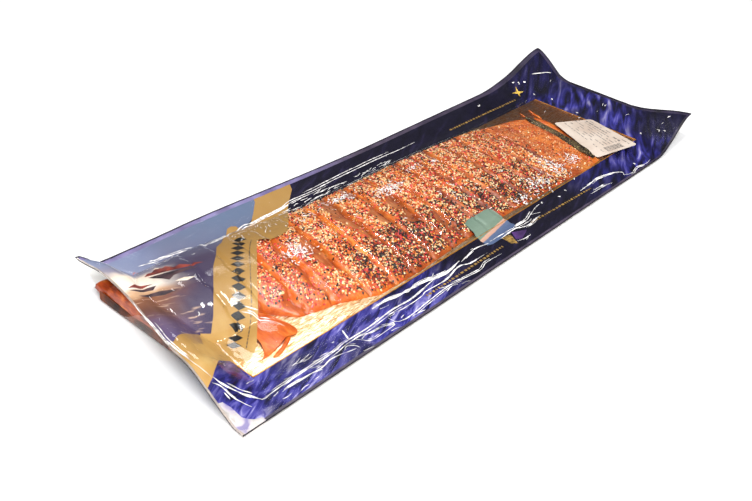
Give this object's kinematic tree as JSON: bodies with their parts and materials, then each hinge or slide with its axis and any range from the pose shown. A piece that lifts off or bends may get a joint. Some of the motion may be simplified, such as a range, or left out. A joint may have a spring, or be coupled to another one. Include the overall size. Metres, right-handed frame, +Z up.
{
  "type": "pack of smoked salmon",
  "caption": "Flat sealed film pouch with a whole side of seasoned smoked salmon on a gold card inside, printed borders and ribbon, and a paper information label.",
  "frame": {"origin": "centre of the pouch's bounding box in plan, on the flat underside that it rests on", "axes": "+X from the thick end of the fish to its tail, along the pouch; +Y towards the back edge of the fish; +Z up"},
  "size_m": [0.64, 0.205, 0.0357],
  "materials": {
    "film": "clear, glossy, wrinkled",
    "print": "printed film, navy and blue border, tan ribbon",
    "fish": "moist orange flesh",
    "skin": "dark fish skin",
    "seasoning": "crushed peppercorns, mustard seed and herbs",
    "card": "gold foil laminated",
    "label_paper": "matte white"
  },
  "bodies": {
    "root": {"pouch": "film", "info_label": "label_paper"}
  },
  "joints": []
}
